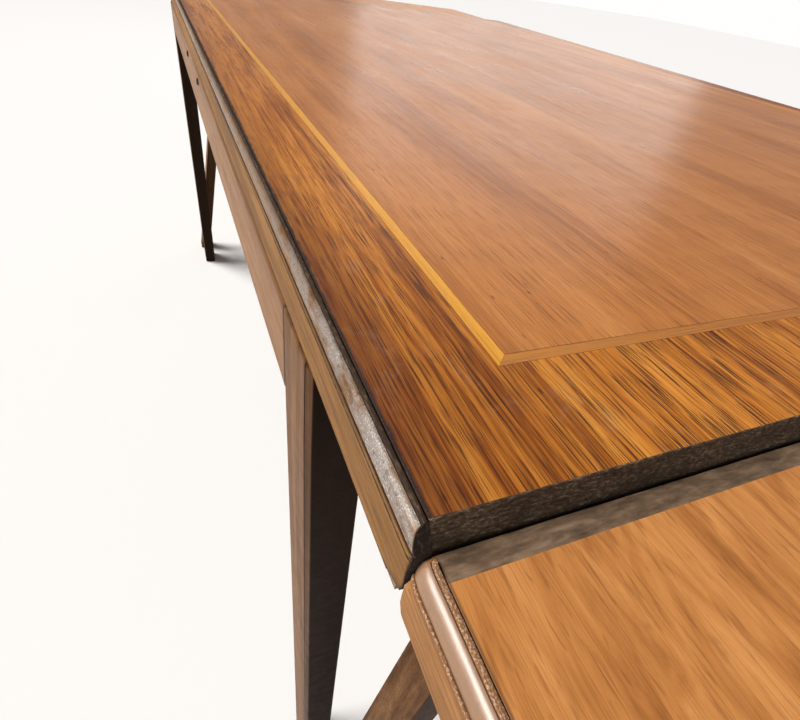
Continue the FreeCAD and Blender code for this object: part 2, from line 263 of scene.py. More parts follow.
class Paint:
    """One procedural material."""

    def __init__(self, name):
        self.material = bpy.data.materials.new(name)
        self.material.use_nodes = True
        self.tree = self.material.node_tree
        self.shader = next(n for n in self.tree.nodes if n.type == "BSDF_PRINCIPLED")
        self.place = self.node("TexCoord", out="Object")

    def node(self, kind, inputs=None, out=0, stops=None, **settings):
        """Any node: its settings first, then the values or links of its sockets."""
        made = self.tree.nodes.new("ShaderNode" + kind)
        for setting, value in settings.items():
            setattr(made, setting, value)
        if stops:
            set_stops(made.color_ramp.elements, stops)
        for key, value in (inputs or {}).items():
            self.feed(made.inputs[key], value)
        return Wire(self, made.outputs[out])

    def feed(self, socket, value):
        if isinstance(value, Wire):
            self.tree.links.new(value.socket, socket)
        else:
            socket.default_value = value

    def math(self, operation, first, second=0.0, clamp=False):
        return self.node("Math", {0: first, 1: second}, operation=operation, use_clamp=clamp)

    def step(self, value, low, high):
        """0 below low, 1 above high, smooth between."""
        inputs = {"Value": value, "From Min": low, "From Max": high}
        return self.node("MapRange", inputs, interpolation_type="SMOOTHSTEP")

    def stretched(self, scale, shift=(0, 0, 0)):
        """The piece's own coordinates in metres, times scale and moved by shift."""
        inputs = {0: self.place, 1: scale, 2: shift}
        return self.node("VectorMath", inputs, operation="MULTIPLY_ADD")

    def noise(self, scale, shift=(0, 0, 0), detail=3, rough=0.55, warp=0):
        inputs = {"Vector": self.stretched(scale, shift), "Scale": 1, "Detail": detail}
        inputs.update({"Roughness": rough, "Distortion": warp})
        return self.node("TexNoise", inputs)

    def ramp(self, level, *stops):
        """A colour for each level, read between the stops."""
        return self.node("ValToRGB", {0: level}, stops=stops)

    def blend(self, amount, first, second):
        first = (*first, 1.0) if isinstance(first, tuple) else first
        second = (*second, 1.0) if isinstance(second, tuple) else second
        inputs = {0: amount, 6: first, 7: second}
        return self.node("Mix", inputs, out=2, data_type="RGBA")

    def over(self, amount, colour):
        """Lays a colour over the tone so far."""
        self.tone = self.blend(amount, self.tone, colour)

    def mark(self, name):
        return self.node("Attribute", out="Fac", attribute_name=name)

    def axis(self, name):
        return self.node("SeparateXYZ", {0: self.place}, out=name)

    def away(self, name):
        """How far the place is from the table's middle along an axis."""
        return self.math("ABSOLUTE", self.axis(name))

    def bump(self, height, depth, below=None):
        inputs = {"Height": height, "Distance": depth, "Strength": 1.0}
        if below is not None:
            inputs["Normal"] = below
        return self.node("Bump", inputs)

    def done(self, rough, normal=None, **constants):
        """The finished material. What is the same all over is set on the shader's own sockets."""
        for key, value in (("Base Color", self.tone), ("Roughness", rough), ("Normal", normal)):
            if value is not None:
                self.feed(self.shader.inputs[key], value)
        for key, value in constants.items():
            socket = key.replace("_", " ").title().replace("Ior", "IOR")
            self.shader.inputs[socket].default_value = value
        return self.material


# %% [markdown]
# ## Wood finishes
# Walnut shows three scales at once: broad bands from the log, streaks a few millimetres wide, and
# pores, the thin dark dashes that end after a centimetre or two. All run along the board, so each
# noise is squeezed across the grain and stretched along it. The pores also dent the surface, which
# is what breaks up the gloss. One function serves every board, and the colours tell them apart.

# %% Grain
ACROSS_X = np.array([1.0, 0.03, 1.0])
UPRIGHT = np.array([1.0, 1.0, 0.03])
ALONG_X = np.array([0.03, 1.0, 1.0])
# Darkest stain on the legs' ends, partly painted shade.
DEEP_STAIN_AND_SHADE = (0.012, 0.007, 0.005)
WAX_DIRT = (0.02, 0.011, 0.01)


def grain(paint, lay, size=1.0, shift=0.0):
    """Bands, streaks and pores, each from 0 to 1, for grain that lies as lay says."""
    def scaled(number, stretch=1.0):
        return tuple(lay**stretch * number / size)
    bands = paint.noise(scaled(20), (shift, shift, 2), detail=2, warp=0.5)
    streaks = paint.noise(scaled(150), (shift, 1, shift), detail=5, rough=0.62, warp=0.2)
    pores = paint.noise(scaled(1900, 1.13), (5, shift, 3), detail=2, rough=0.5)
    return bands, streaks, paint.step(pores, 0.52, 0.62)


# %% Wood
def wood(name, lay, tones, rough=0.38, size=1.0, shift=0.0, stained=None, shine=0.3, end=None):
    """A finished wood with its grain laid one way and grime in the marked places."""
    light, mid, dark = tones
    paint = Paint(name)
    bands, streaks, pores = grain(paint, lay, size, shift)
    level = (bands - 0.5) * 0.9 + (streaks - 0.5) * 1.5 + 0.5
    paint.tone = paint.ramp(level, (0.22, dark), (0.5, mid), (0.78, light))
    paint.over(pores * 0.6, dark)
    # The stain mark lays a dark stain that is partly painted shade on faces turned from the light.
    if stained:
        soaked_and_shaded = paint.blend(streaks, stained, DEEP_STAIN_AND_SHADE)
        paint.over(paint.mark("stain") * 0.93, soaked_and_shaded)
    grime = paint.mark("grime")
    if end:
        near_end = paint.step(paint.away("Y"), end - 5 * MM, end - 0.2 * MM)
        grime = paint.math("MAXIMUM", grime, near_end * 0.9)
    patchy = paint.noise((160, 60, 160)) * 0.8 + 0.6
    grime = paint.math("MULTIPLY", grime, patchy, clamp=True)
    paint.over(grime, WAX_DIRT)
    scuff = paint.noise((70, 30, 70), (1, 4, 2), detail=4)
    dents = paint.bump(pores * -0.5 + streaks * 0.25, 0.12 * MM)
    dents = paint.bump(scuff, 0.6 * MM, dents)
    return paint.done(scuff * 0.22 + (rough - 0.11), dents, specular_ior_level=shine)


# %% [markdown]
# ## The veneered top
# The top is laid in two parts: a border with strong dark streaks and, inside the yellow line, a
# paler field with quiet grain and scattered specks. One material serves both and reads which part
# it is on from its own X and Y. Along the edges the finish is worn nearly black, so the mesh
# carries a mark there, broken up by noise so that the edge of the dirt isn't a ruled line.

# %% Top finish
NEARLY_BLACK = (0.03, 0.01, 0.005)
UNDER_LINE = 3 * MM


def top_finish():
    """Border and field, then what has darkened them: pores, cracks, rim, haze, specks and soot, and
    a painted shadow on the nose below the bevel.
    """
    paint = Paint("walnut_top")
    x = paint.away("X")
    y = paint.away("Y")
    middle = paint.math("LESS_THAN", x, LINE_IN[0] + UNDER_LINE)
    middle = middle * paint.math("LESS_THAN", y, LINE_IN[1] + UNDER_LINE)
    bands, streaks, pores = grain(paint, ACROSS_X, 1.0, 0.0)
    fine = paint.noise((520, 11, 520), (2, 2, 2), rough=0.6)
    patches = paint.noise((9, 3, 9), (4, 1, 0))
    level = (bands - 0.5) * 0.6 + (streaks - 0.5) * 0.8 + (fine - 0.5) * 0.9 + (patches - 0.5) * 0.6
    border = paint.ramp(
        level + 0.5,
        (0.1, (0.11, 0.025, 0.004)),
        (0.34, (0.31, 0.083, 0.009)),
        (0.54, (0.58, 0.2, 0.025)),
        (0.85, (0.76, 0.32, 0.054)),
    )
    quiet = (bands - 0.5) * 0.7 + (streaks - 0.5) * 0.55
    quiet = quiet + (fine - 0.5) * 0.6 + (patches - 0.5) * 0.8
    field = paint.ramp(
        quiet + 0.5,
        (0.15, (0.31, 0.098, 0.022)),
        (0.5, (0.52, 0.19, 0.046)),
        (0.85, (0.66, 0.275, 0.08)),
    )
    paint.tone = paint.blend(middle, border, field)
    used = paint.step(y, 0.42, 0.8)
    depth = paint.step(patches, 0.3, 0.62) * 0.3 + 0.55
    paint.over(pores * (depth - middle * 0.4) * (used * 0.62 + 0.38), NEARLY_BLACK)
    wide = paint.step(x, SIDE - 115 * MM, SIDE - 10 * MM) * paint.step(y, 0.6, 0.82)
    paint.over(wide * 0.24, (0.1, 0.03, 0.01))
    cracks = paint.noise((860, 24, 860), (7, 1, 2), detail=2)
    cracks = paint.step(cracks, 0.575, 0.65) * (used * 0.8 + 0.08) * (1 - middle)
    paint.over(cracks * 0.8, NEARLY_BLACK)
    rim = paint.step(x + (patches - 0.5) * 0.03, SIDE - 26 * MM, SIDE + 2 * MM)
    paint.over(rim * (used * 0.3 + 0.36), (0.095, 0.022, 0.012))
    haze = paint.noise((48, 30, 48), (9, 2, 5), detail=6, rough=0.72)
    haze = paint.step(haze, 0.55, 0.72) * used * (1 - middle)
    paint.over(haze * 0.13, (0.55, 0.36, 0.24))
    cells = paint.node(
        "TexVoronoi",
        {"Vector": paint.stretched((150, 62, 150)), "Scale": 1},
        out="Distance",
    )
    luck = paint.noise((31, 17, 31), (8, 3, 0), detail=1)
    specks = (1 - paint.step(cells, 0.05, 0.15)) * paint.step(luck, 0.53, 0.66)
    paint.over(specks * 0.62, NEARLY_BLACK)
    grime = paint.mark("grime")
    broken = paint.noise((260, 90, 260), detail=4)
    edge = paint.step(grime + (broken - 0.5) * 0.55, 0.3, 0.62)
    dust = paint.noise((430, 1300, 1500), (1, 1, 1), detail=6, rough=0.78)
    soot = paint.ramp(
        dust,
        (0.38, (0.052, 0.029, 0.015)),
        (0.53, (0.18, 0.115, 0.066)),
        (0.68, (0.52, 0.39, 0.27)),
    )
    on_end = paint.math("GREATER_THAN", y, END - 0.4 * MM)
    clean = paint.step(paint.noise((34, 60, 200), (2, 7, 3), detail=4), 0.34, 0.62)
    soot = paint.blend(clean * 0.6 + 0.4, (0.032, 0.018, 0.01), soot)
    dusty = paint.step(dust, 0.52, 0.68)
    end_soot = paint.blend(dusty, (0.034, 0.019, 0.014), (0.105, 0.064, 0.046))
    soot = paint.blend(on_end, end_soot, soot)
    # Painted shadow: the nose below the bevel and the underside are laid nearly black.
    painted_shadow_low = 1 - paint.step(paint.axis("Z"), TOP - 9.6 * MM, TOP - 6.4 * MM)
    soot = paint.blend(painted_shadow_low, soot, (0.008, 0.005, 0.004))
    paint.over(edge, soot)
    smear = paint.noise((22, 7, 22), (6, 2, 0), detail=4)
    rough = smear * 0.16 + edge * 0.42 + pores * 0.08 + 0.22
    dents = paint.bump(pores * -0.6 + fine * 0.25 + specks * -1.2, 0.035 * MM)
    dents = paint.bump(paint.noise((60, 25, 60)), 0.25 * MM, dents)
    dents = paint.bump(edge * dust, 0.5 * MM, dents)
    return paint.done(rough, dents, specular_ior_level=0.42)


# %% Line finish and the finished woods
def line_finish(name, lay, tones):
    """The inlaid line: pale wood gone golden under the polish."""
    paint = Paint(name)
    bands, streaks, pores = grain(paint, lay, 0.8, 3.0)
    light, mid, dark = tones
    level = (bands - 0.5) * 0.6 + (streaks - 0.5) * 0.8 + 0.5
    paint.tone = paint.ramp(level, (0.2, dark), (0.5, mid), (0.8, light))
    paint.over(pores * 0.25, (0.16, 0.06, 0.012))
    paint.over(paint.mark("grime"), (0.05, 0.02, 0.008))
    return paint.done(streaks * 0.12 + 0.26, paint.bump(pores * -1.0, 0.08 * MM))


walnut_top = top_finish()
GOLD = ((0.9, 0.45, 0.055), (0.8, 0.36, 0.038), (0.62, 0.235, 0.022))
DULL_GOLD = ((0.6, 0.25, 0.05), (0.5, 0.19, 0.035), (0.38, 0.13, 0.024))
line_long = line_finish("gold_line", ACROSS_X, GOLD)
line_short = line_finish("gold_line_short", ALONG_X, DULL_GOLD)
APRON_TONES = ((0.225, 0.106, 0.034), (0.17, 0.074, 0.022), (0.1, 0.04, 0.011))
LEG_TONES = ((0.17, 0.083, 0.034), (0.112, 0.051, 0.02), (0.056, 0.024, 0.009))
PLAIN_TONES = ((0.27, 0.165, 0.095), (0.2, 0.115, 0.062), (0.1, 0.055, 0.03))
PLUG_TONES = ((0.05, 0.03, 0.02), (0.03, 0.018, 0.012), (0.012, 0.008, 0.006))
APRON_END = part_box("side_apron_right")[1][1]
# Dark stain on the legs' ends and inner halves, partly painted shade.
END_STAIN_AND_SHADE = (0.022, 0.01, 0.005)
apron_wood = wood("apron_wood", ACROSS_X, APRON_TONES, 0.46, 1.2, 6.0, shine=0.15, end=APRON_END)
leg_wood = wood("leg_wood", UPRIGHT, LEG_TONES, 0.45, 1.1, 8.0, stained=END_STAIN_AND_SHADE, shine=0.04)
plain_wood = wood("plain_wood", ALONG_X, PLAIN_TONES, 0.55, 1.3, 5.0)
plain_wood_long = wood("plain_wood_long", ACROSS_X, PLAIN_TONES, 0.55, 1.3, 5.0)
plug_wood = wood("plug_wood", UPRIGHT, PLUG_TONES, 0.6)
print("finishes so far", [material.name for material in bpy.data.materials])


# %% [markdown]
# ## Hinge metal
# The hinges and screws are hidden under the leaves. Brass that is never polished goes brown in
# patches, so its colour and its roughness follow the same noise.

# %% Metals
def metal(name, clean, stained, rough):
    """Brushed metal, browner and rougher where it is stained."""
    paint = Paint(name)
    stain = paint.step(paint.noise((90, 90, 90), detail=4), 0.38, 0.66)
    scratches = paint.noise((1500, 90, 1500), detail=2)
    paint.tone = paint.blend(stain, clean, stained)
    normal = paint.bump(scratches, 0.03 * MM)
    return paint.done(stain * 0.25 + rough, normal, metallic=1.0)


brass = metal("aged_brass", (0.62, 0.42, 0.16), (0.2, 0.12, 0.05), 0.28)
steel = metal("plain_steel", (0.5, 0.49, 0.47), (0.17, 0.14, 0.12), 0.32)


# %% [markdown]
# ## The top board
# The board's outline is its side view: flat on top, bevelled at both ends, rounded below. It could
# be extruded in one go, but the inlaid line lies in a groove, and the bevel is worn. So the outline
# is repeated across the table at many places, close together at the groove's walls, and every point
# there is lowered if it is inside the groove. Walls a few hundredths apart read as square.

# %% Board with its groove
WALL = 0.03 * MM
ARRIS = 0.9 * MM
ARRIS_DROP = 0.8
NOSE_STEPS = 7
FLAT_ROWS = 91
BELOW_ROWS = 24


def groove_walls(outer, inner):
    """Places on both sides of the groove, one pair of points to each wall."""
    pair = np.array([-WALL, WALL])
    one_side = np.concatenate([outer + pair, inner + pair])
    return np.concatenate([one_side, -one_side])


def in_groove(x, y):
    """1 where the groove is: outside the inner rectangle and inside the outer one."""
    inside = (np.abs(x) < LINE_OUT[0]) & (np.abs(y) < LINE_OUT[1])
    field = (np.abs(x) < LINE_IN[0]) & (np.abs(y) < LINE_IN[1])
    return (inside & ~field).astype(float)


def nose_curve():
    """The far end in side view, from the upper arris down to the underside."""
    corners = [
        (END - 3 * MM, TOP),
        (END, TOP),
        (NOSE, TOP - BEVEL_DROP),
        (NOSE, UNDER),
        (NOSE - 2 * UNDER_RADIUS, UNDER),
    ]
    curve = eased(corners, [0.01 * MM, 0.7 * MM, 0.8 * MM, UNDER_RADIUS, 0.01 * MM], NOSE_STEPS)
    each_corner = NOSE_STEPS + 2
    return curve[each_corner:-each_corner]


def quarter(near):
    """A quarter round: 1 at the edge, 0 one width away, as 1 less the root of 1 - (1 - near)^2."""
    near = np.clip(near, 0, 1)
    return 1 - np.sqrt(np.clip(1 - (1 - near) ** 2, 0, 1))


def arris_drop(x):
    """How far the side's edge is worn down."""
    return ARRIS * quarter((SIDE - np.abs(x)) / ARRIS)


def top_board():
    """The side view at each x, lowered in the groove, worn at the sides, dented on the bevels."""
    walls = groove_walls(LINE_OUT[0], LINE_IN[0])
    xs = np.concatenate([stations(-SIDE, SIDE, 3.5 * MM, ARRIS), walls])
    xs = np.unique(np.round(xs, 7))
    rows = np.linspace(-END, END, FLAT_ROWS)[1:-1]
    flat = np.concatenate([rows, groove_walls(LINE_OUT[1], LINE_IN[1])])
    flat = np.unique(np.round(flat, 7))
    nose = nose_curve()
    below = np.linspace(END - 9 * MM, 9 * MM - END, BELOW_ROWS)
    ys = np.concatenate([flat, nose[:, 0], below, -nose[::-1, 0]])
    under = np.full(BELOW_ROWS, UNDER)
    zs = np.concatenate([np.full(len(flat), TOP), nose[:, 1], under, nose[::-1, 1]])
    x, y = np.meshgrid(xs, ys, indexing="ij")
    z = np.broadcast_to(zs, x.shape).copy()
    upper = z > TOP - 0.5 * MM
    z -= LINE_DEPTH * in_groove(x, y) * upper
    z -= ARRIS_DROP * arris_drop(x) * upper
    bevel = np.clip((np.abs(y) - (END - 1 * MM)) / (2 * MM), 0, 1) * (z > UNDER + 2 * MM)
    push = worn(x, z * 3, 9 * MM, 3) * 0.16 * MM + worn(x, z * 3, 2.4 * MM, 4) * 0.07 * MM
    y = y - np.sign(y) * bevel * (np.abs(push) + 0.05 * MM)
    z = z - bevel * np.abs(worn(x, y, 14 * MM, 5)) * 0.12 * MM
    side_dirt = 0.85 * np.clip(1.2 - (SIDE - np.abs(x)) / (1.6 * MM), 0, 1)
    end_dirt = np.clip((np.abs(y) - (END - 0.9 * MM)) / (0.9 * MM), 0, 1)
    # Everything below the surface is marked: dirt on the bevel, and below it the painted shadow of
    # the nose.
    low_dirt = 1.0 * (z < TOP - 2 * MM)
    dirt_and_shade = np.maximum(np.maximum(side_dirt, end_dirt), low_dirt)
    return skin("veneered_top", np.stack([x, y, z], -1), marks={"grime": dirt_and_shade})


board = settle(top_board(), "top_board", walnut_top)
print("top board", len(board.data.polygons), "faces")

# %% [markdown]
# ## The inlaid line
# Four strips of pale wood, mitred at the corners. Each is a shallow bar whose cross section runs
# along its side of the rectangle, and the mitre is made by sliding each point of the end outline
# along the bar by as much as it lies across it. A hair's breadth is left on each side for glue.

# %% Inlaid strips
GLUE = 0.09 * MM
BELOW_TOP = 0.03 * MM
STRIP_RINGS = 121


def inlay_strip(name, across):
    """A bar on one side, cut to the mitres. It lies out in X if across is 0, or in Y if it is 1."""
    along = 1 - across
    outer = LINE_OUT[across] - GLUE
    inner = LINE_IN[across] + GLUE
    low = TOP - LINE_DEPTH
    top = TOP - BELOW_TOP
    section = eased([(inner, low), (outer, low), (outer, top), (inner, top)], 0.12 * MM, steps=3)
    reach = LINE_OUT[along] - LINE_OUT[across] + section[:, 0] - 0.02 * MM
    t = np.linspace(-1, 1, STRIP_RINGS)[:, None]
    rings = np.zeros((STRIP_RINGS, len(section), 3))
    rings[..., across] = SIGN[name] * section[None, :, 0]
    rings[..., along] = t * reach[None, :]
    rings[..., 2] = section[None, :, 1]
    from_middle = np.abs(section[:, 0] - (outer + inner) / 2)
    edge = 0.6 * (from_middle > (outer - inner) / 2 - 0.05 * MM)
    finish = line_long if across == 0 else line_short
    strip = skin("line_" + name, rings, marks={"grime": edge[None, :]}, angle=12)
    return settle(strip, "inlay_line_" + name, finish)


for name in SIDES + ENDS:
    inlay_strip(name, int(name in ENDS))
print("inlaid line", round(float(LINE_OUT[0] - LINE_IN[0]) / MM, 1), "mm wide")


# %% [markdown]
# ## The moulding
# The sides carry a worked moulding: a narrow bead beside the surface, a quirk, a full round, a
# second quirk with a wire of wood beside it, and a flat face. Quirks hold dirt and wax and lie in
# shade, so they are marked for grime, which paints both the dirt and the shade. The section is
# written once, outwards and downwards from the surface's edge, and serves the top and both leaves.

# %% Moulding finish
# Grey of the worn round, partly a painted sheen.
WORN_GREY_AND_SHEEN = (0.2, 0.17, 0.15)
GLINT = (0.8, 0.78, 0.76)
PIT = (0.045, 0.026, 0.02)
BEAD_GLINT = (0.62, 0.45, 0.36)
# Dark colour of the grime: dirt, and painted shade in the quirks.
FRESH_DIRT_AND_SHADE = (0.03, 0.017, 0.01)
OLD_DIRT = (0.12, 0.074, 0.046)


def edge_finish(
    name, lay, tones, bare, gloss, shift, glaze, speckle=0.0, pitted=1.0, rubbed_and_sheen_from=None
):
    """Grain on the flats, a polished and pitted round, and dirt with painted shade where the mesh
    is marked. Past the two places in the last argument the round turns grey: partly worn, partly a
    painted sheen, with painted glints. Speckle lays painted glints on the beads."""
    light, mid, dark = tones
    paint = Paint(name)
    bands, streaks, pores = grain(paint, lay, 0.8, shift)
    level = (bands - 0.5) * 0.8 + (streaks - 0.5) * 1.3 + 0.5
    paint.tone = paint.ramp(level, (0.2, dark), (0.5, mid), (0.8, light))
    paint.over(pores * 0.6, dark)
    flecks = paint.noise(tuple(lay * 780), (4, shift, 9), detail=4, rough=0.7)
    paint.over(paint.step(flecks, 0.5, 0.66) * 0.62, dark)
    pits = paint.noise((420, 420, 420), (shift, 2, 4), detail=4, rough=0.65)
    rubbed = paint.noise((170, 45, 170), (3, shift, 1), detail=4)
    polish = paint.mark("polish")
    shown = polish * paint.step(rubbed, 0.34 * pitted, 0.34 * pitted + 0.22)
    glints = paint.noise((2300, 1500, 2300), (2, 2, shift), detail=2)
    # Past these places the round turns grey, partly worn and partly a painted sheen, with painted
    # glints.
    if rubbed_and_sheen_from:
        ends = paint.step(paint.away("Y"), *rubbed_and_sheen_from)
        bare = paint.blend(ends, bare, WORN_GREY_AND_SHEEN)
        bare = paint.blend(ends * paint.step(glints, 0.57, 0.66) * 0.5, bare, GLINT)
    paint.over(shown * 0.8, bare)
    paint.over(polish * paint.step(pits, 0.54, 0.7) * 0.75 * pitted, PIT)
    # Painted glints on the beads.
    speckled = paint.mark("bead") * paint.step(glints, 0.48, 0.62) * speckle
    paint.over(speckled, BEAD_GLINT)
    # The grime mark lays dirt and, in the quirks, painted shade.
    grime = paint.mark("grime")
    lint = paint.noise((900, 260, 900), (1, 5, 2), detail=4, rough=0.7)
    grime = paint.step(grime + (lint - 0.5) * 0.5, 0.28, 0.75)
    dirt_and_shade = paint.blend(paint.step(lint, 0.48, 0.72), FRESH_DIRT_AND_SHADE, OLD_DIRT)
    paint.over(grime, dirt_and_shade)
    rough = (1 - polish) * 0.3 + pits * 0.2 + grime * 0.4 + (gloss - 0.1)
    dents = paint.bump(pores * -0.5 + streaks * 0.3, 0.08 * MM)
    dents = paint.bump(pits * polish, 0.4 * MM * pitted, dents)
    dents = paint.bump(rubbed, 0.5 * MM * pitted, dents)
    paint.feed(paint.shader.inputs["Coat Weight"], shown * glaze)
    return paint.done(rough, dents, coat_roughness=gloss, specular_ior_level=0.1)


EDGE_TONES = ((0.275, 0.132, 0.034), (0.18, 0.08, 0.018), (0.078, 0.034, 0.009))
EDGE_BARE = (0.112, 0.072, 0.045)
# Where the round's grey sheen and painted glints begin and end.
RUBBED_AND_SHEEN_FROM = (0.6, 0.83)
moulded = edge_finish(
    "moulded_edge", ACROSS_X, EDGE_TONES, EDGE_BARE, 0.36, 2.0, 0.34, rubbed_and_sheen_from=RUBBED_AND_SHEEN_FROM,
)

# %% Moulding section
def moulding_section(depth):
    """Points (out, down) of the worked face from top to bottom, with the grime on each, and its
    polish and bead marks. Each part is a curve in millimetres and how dark its grime is: dirt, and
    in the quirks painted shade as well."""
    the_round = 3
    beads = (0, 1, 5)
    flat_rows = 5
    out = FACE - SIDE
    parts = [
        (arc_between((0.05, 0.7), (0.15, 0.22), (0.7, 0.25), 5), 0.9),
        (arc_between((0.95, 0.28), (1.55, 0.4), (1.85, 0.85), 5), 0.9),
        (arc_between((1.9, 1.25), (2.02, 1.65), (2.15, 1.3), 3), 1.0),
        (arc_between((2.25, 1.05), (4.85, 1.75), (5.75, 6.9), 14), 0.0),
        (arc_between((5.72, 7.3), (5.4, 7.8), (5.75, 7.9), 4), 1.0),
        (arc_between((6.0, 7.8), (6.55, 7.7), (6.6, 8.5), 6), 0.12),
        (arc_between((6.6, 8.8), (6.45, 9.1), (6.66, 9.5), 3), 0.8),
        (np.array([(6.7, 10.2), (6.7, 11.0)]), 0.05),
    ]
    face = np.concatenate([points for points, _ in parts]) * MM
    part_of = np.repeat(np.arange(len(parts)), [len(points) for points, _ in parts])
    dirt_and_shade = np.array([value for _, value in parts])[part_of]
    downs = np.linspace(14 * MM, depth - 1.6 * MM, flat_rows)
    low = arc_between((out, depth - 1.2 * MM), (out, depth), (out - 1.2 * MM, depth), 5)
    face = np.concatenate([face, np.stack([np.full(flat_rows, out), downs], -1), low])
    back = np.stack([np.zeros(len(face)), face[:, 1]], -1)[::-1]
    unworked = np.repeat([0.03, 0.15, 0.6], [flat_rows, len(low), len(back)])
    dirt_and_shade = np.concatenate([dirt_and_shade, unworked])
    plain = np.zeros(len(unworked))
    polish = np.concatenate([part_of == the_round, plain])
    bead = np.concatenate([np.isin(part_of, beads), plain])
    return np.concatenate([face, back]), dirt_and_shade, {"polish": polish[None, :], "bead": bead[None, :]}


# %% Mouldings of the top
RING_STEP = 3.2 * MM
BACK_GAP = 0.3 * MM
END_SHARE = 0.0012


def moulding_rings(section, reach_low, reach_high, length, wear_seed, share=END_SHARE):
    """Rings from reach_low to reach_high, which give each point its own end, with a little wear.
    The first and last rings lie close together, in a share of the length."""
    t = stations(0, 1, RING_STEP / length, share)[:, None]
    place = reach_low[None, :] * (1 - t) + reach_high[None, :] * t
    out = np.broadcast_to(section[None, :, 0], place.shape).copy()
    down = np.broadcast_to(section[None, :, 1], place.shape).copy()
    rub = worn(place, down * 4, 30 * MM, wear_seed) * 0.1 * MM
    rub += worn(place, down, 6 * MM, wear_seed + 1) * 0.05 * MM
    worked = (out > BACK_GAP) & (down < 9 * MM)
    down += worked * np.abs(rub)
    return out, place, down


def moulding(board, name, rings, dirt_and_shade, marks, finish):
    """A length of moulding from its rings. Its ends aren't flat, so they are closed in strips."""
    marks = {"grime": dirt_and_shade, **marks}
    piece = skin("moulding_" + board + "_" + name, rings, caps="strips", marks=marks)
    return settle(piece, board + "_lipping_" + name, finish)


def end_reach(down):
    """How far the top reaches in Y at a depth: out along the bevel, then back under the nose."""
    turn = UNDER_RADIUS
    depths = np.array([0, BEVEL_DROP, TOP - UNDER - turn, TOP - UNDER - 0.3 * turn, TOP - UNDER])
    places = np.array([END, NOSE, NOSE, NOSE - 0.28 * turn, NOSE - turn])
    reach = np.interp(down, depths, places)
    return np.where(down > TOP - UNDER + 0.01 * MM, END - LIP_SETBACK, reach)


def top_moulding(side):
    """The section from nose to nose: its tips rubbed thin, and dirty at their ends and low down."""
    section, dirt_and_shade, marks = moulding_section(TOP - LIP_LOW)
    reach = end_reach(section[:, 1])
    out, place, down = moulding_rings(section, -reach, reach, 2 * END, 11)
    tip = np.clip(1 - (NOSE - np.abs(place)) / (2.2 * MM), 0, 1) ** 2
    out = out - (out > BACK_GAP) * tip * 0.7 * MM * (down < 12 * MM)
    rings = np.stack([SIGN[side] * (SIDE + out), place, TOP - down], -1)
    from_end = reach[None, :] - np.abs(place)
    tip_dirt = np.clip(1.2 - from_end / (0.8 * MM), 0, 1)
    low_down = np.clip((down - 17 * MM) / (8 * MM), 0, 1)
    low_dirt = 0.62 * np.clip(1 - from_end / (16 * MM), 0, 1) * low_down
    dirty = np.maximum(np.maximum(dirt_and_shade[None, :], tip_dirt), low_dirt)
    marks["polish"] = marks["polish"] * np.clip(from_end / (0.5 * MM), 0, 1)
    return moulding("top", side, rings, dirty, marks, moulded)


for side in SIDES:
    top_moulding(side)
print("moulding", round(float(FACE - SIDE) / MM, 1), "mm thick")


# %% [markdown]
# ## The leaves
# A leaf lies a little lower than the top, and its inner edge slopes down in a dark band where the
# two meet. The board is again its side view carried across the table. Its three mouldings use the
# same section as the top, mitred at the outer corners.

# %% Leaf boards
LEAF_BEVEL = 9.2 * MM
LEAF_BEVEL_DROP = 1.5 * MM
LEAF_ARRIS_DROP = 0.15
LEAF_STEPS = 6
LEAF_ROWS = 40


def leaf_side_outline():
    """The leaf in side view: the slope, the flat top, the outer end and the round below."""
    corners = [
        (LEAF_IN, LEAF_TOP - LEAF_BEVEL_DROP),
        (LEAF_IN + LEAF_BEVEL, LEAF_TOP),
        (LEAF_OUT, LEAF_TOP),
        (LEAF_OUT, LEAF_UNDER),
        (LEAF_IN, LEAF_UNDER),
    ]
    outline = eased(corners, [1.2 * MM, 0.4 * MM, 0.3 * MM, 0.3 * MM, UNDER_RADIUS], LEAF_STEPS)
    slope = 2 * (LEAF_STEPS + 2)
    ys = np.linspace(outline[slope - 1, 0], LEAF_OUT - 1 * MM, LEAF_ROWS)[1:]
    run = np.stack([ys, np.full(len(ys), LEAF_TOP)], -1)
    return np.concatenate([outline[:slope], run, outline[slope:]])


def leaf_board(end):
    """The side view at each x: a marked band along the slope and a little wear at the sides."""
    outline = leaf_side_outline()
    xs = stations(-SIDE, SIDE, 5 * MM, ARRIS)
    x, y = np.meshgrid(xs, outline[:, 0], indexing="ij")
    z = np.broadcast_to(outline[:, 1], x.shape).copy()
    upper = z > LEAF_TOP - 3 * MM
    z -= LEAF_ARRIS_DROP * arris_drop(x) * upper
    band = 1 - np.clip((y - (LEAF_IN + LEAF_BEVEL) + 0.1 * MM) / (0.25 * MM), 0, 1)
    y += band * worn(x, z * 2, 12 * MM, 21) * 0.08 * MM
    board = skin("leaf_" + end, np.stack([x, SIGN[end] * y, z], -1), marks={"band": band})
    return settle(board, "leaf_board_" + end, leaf_finish)


# %% Leaf mouldings
def leaf_inner(down):
    """Where the leaf starts at a depth below its surface: out down the slope, then in below."""
    thick = LEAF_TOP - LEAF_UNDER
    drop = LEAF_BEVEL_DROP
    depths = np.array([0.0, drop, drop + 1.2 * MM, thick - UNDER_RADIUS, thick - 1 * MM, thick])
    places = LEAF_IN + np.array([3.0 * MM, 1.0 * MM, 0.0, 0.0, 2.0 * MM, UNDER_RADIUS])
    return np.interp(down, depths, places)


def leaf_section():
    """The same section on the leaf, cleaner: dirt and painted shade stay in its quirks and leave
    the bead bare.
    """
    section, dirt_and_shade, marks = moulding_section(LEAF_TOP - LEAF_UNDER)
    return section, np.where(dirt_and_shade > 0.95, 0.42, dirt_and_shade * 0.15)[None, :], marks


